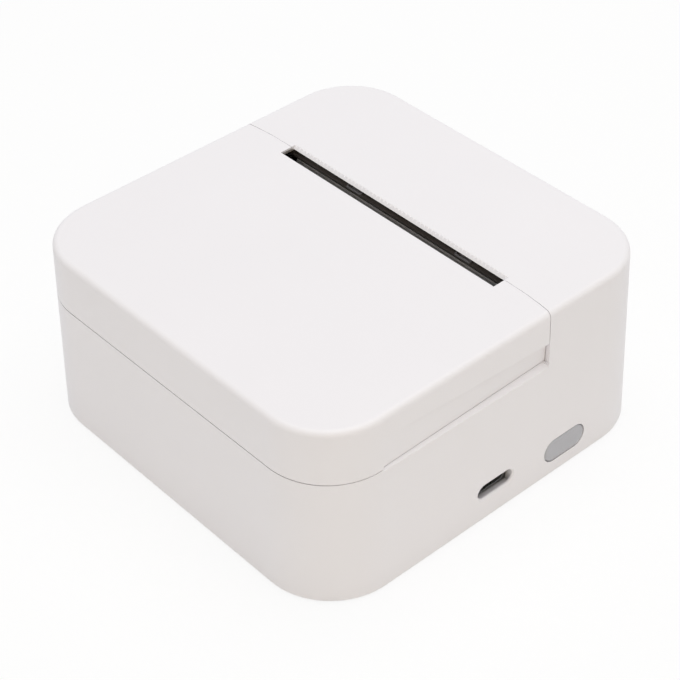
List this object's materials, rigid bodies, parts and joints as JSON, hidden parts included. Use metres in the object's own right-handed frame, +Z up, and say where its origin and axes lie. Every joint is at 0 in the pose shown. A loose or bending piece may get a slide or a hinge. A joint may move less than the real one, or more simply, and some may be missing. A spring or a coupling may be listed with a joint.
{
  "type": "portable thermal printer",
  "caption": "Square pocket thermal printer with a hinged front lid over a paper trough, a toothed tear edge, a side button and a charging socket.",
  "frame": {"origin": "on the floor under the middle of the case", "axes": "+Z up, +X towards the side with the socket and the button, -Y towards the hinge side, the paper slot runs along X"},
  "size_m": [0.0852, 0.0848, 0.0389],
  "materials": {
    "case_plastic": "satin",
    "button_plastic": "satin",
    "dark_plastic": "satin",
    "frame_plastic": "satin",
    "gear_plastic": "satin",
    "bush_plastic": "satin",
    "roller_rubber": "matt",
    "foot_rubber": "matt",
    "steel": "ground",
    "screw_steel": "plated",
    "spring_steel": "bright",
    "motor_can": "zinc plated",
    "brass": "machined",
    "sink_metal": "brushed",
    "head_ceramic": "glazed",
    "black_resin": "matt",
    "flex_film": "satin",
    "board_laminate": "solder mask",
    "shield_metal": "tinned",
    "connector_plastic": "satin",
    "socket_plastic": "satin",
    "plunger_plastic": "satin",
    "battery_wrap": "foil",
    "pad_foam": "foam",
    "lead_insulation": "satin"
  },
  "bodies": {
    "housing": {"outer_shell": "case_plastic", "base_cover": "case_plastic", "base_screws": "screw_steel", "rubber_feet": "foot_rubber", "chassis": "dark_plastic", "chassis_screws": "screw_steel", "hinge_pins": "steel", "mechanism_frame": "frame_plastic", "frame_screws": "screw_steel", "catch_springs": "spring_steel", "guard_clips": "spring_steel", "idler_axle": "steel", "reduction_axle": "steel", "axle_clip": "spring_steel", "motor_body": "motor_can", "motor_screws": "screw_steel", "head_pivot_pins": "steel", "head_springs": "spring_steel", "head_flex_cable": "flex_film", "paper_sensor": "black_resin", "main_board": "board_laminate", "board_chips": "black_resin", "radio_module": "shield_metal", "flex_connector": "connector_plastic", "battery_connector": "connector_plastic", "usb_socket": "shield_metal", "usb_tongue": "socket_plastic", "tact_switch": "socket_plastic", "battery": "battery_wrap", "battery_pad": "pad_foam", "battery_leads": "lead_insulation"},
    "lid": {"lid_cover": "case_plastic", "lid_frame": "dark_plastic", "lid_screws": "screw_steel", "platen_bushes": "bush_plastic"},
    "platen": {"platen_shaft": "steel", "platen_rubber": "roller_rubber", "platen_gear": "gear_plastic"},
    "idler": {"idler_gear": "gear_plastic"},
    "reduction": {"reduction_gear": "gear_plastic"},
    "rotor": {"motor_shaft": "steel", "motor_pinion": "brass"},
    "print_head": {"head_heat_sink": "sink_metal", "head_ceramic": "head_ceramic", "head_driver_cover": "black_resin"},
    "button": {"button_cap": "button_plastic", "switch_plunger": "plunger_plastic"}
  },
  "joints": [
    {"name": "lid_hinge", "type": "hinge", "parent": "housing", "child": "lid", "pos_m": [0, -0.0359, 0.0156], "axis": [1, 0, 0], "range_deg": [0, 90]},
    {"name": "platen_spin", "type": "hinge", "parent": "lid", "child": "platen", "pos_m": [0, 0.011, 0.0326], "axis": [1, 0, 0], "continuous": true},
    {"name": "idler_spin", "type": "hinge", "parent": "housing", "child": "idler", "pos_m": [0, 0.01388, 0.02466], "axis": [1, 0, 0], "continuous": true},
    {"name": "reduction_spin", "type": "hinge", "parent": "housing", "child": "reduction", "pos_m": [0, 0.02085, 0.02063], "axis": [1, 0, 0], "continuous": true},
    {"name": "motor_spin", "type": "hinge", "parent": "housing", "child": "rotor", "pos_m": [0, 0.02999, 0.01918], "axis": [1, 0, 0], "continuous": true},
    {"name": "head_pivot", "type": "hinge", "parent": "housing", "child": "print_head", "pos_m": [0, 0.02024, 0.02408], "axis": [-1, 0, 0], "range_deg": [0, 2.5], "stiffness_Nm_per_rad": 0.5},
    {"name": "button_press", "type": "slide", "parent": "housing", "child": "button", "axis": [-0.9995, 0, -0.0312], "range_m": [0, 0.0004], "stiffness_N_per_m": 2000}
  ],
  "couplings": [
    {"joint": "idler_spin", "follows": "platen_spin", "ratio": -0.5},
    {"joint": "reduction_spin", "follows": "platen_spin", "ratio": 1.1667},
    {"joint": "motor_spin", "follows": "platen_spin", "ratio": -4.2}
  ]
}
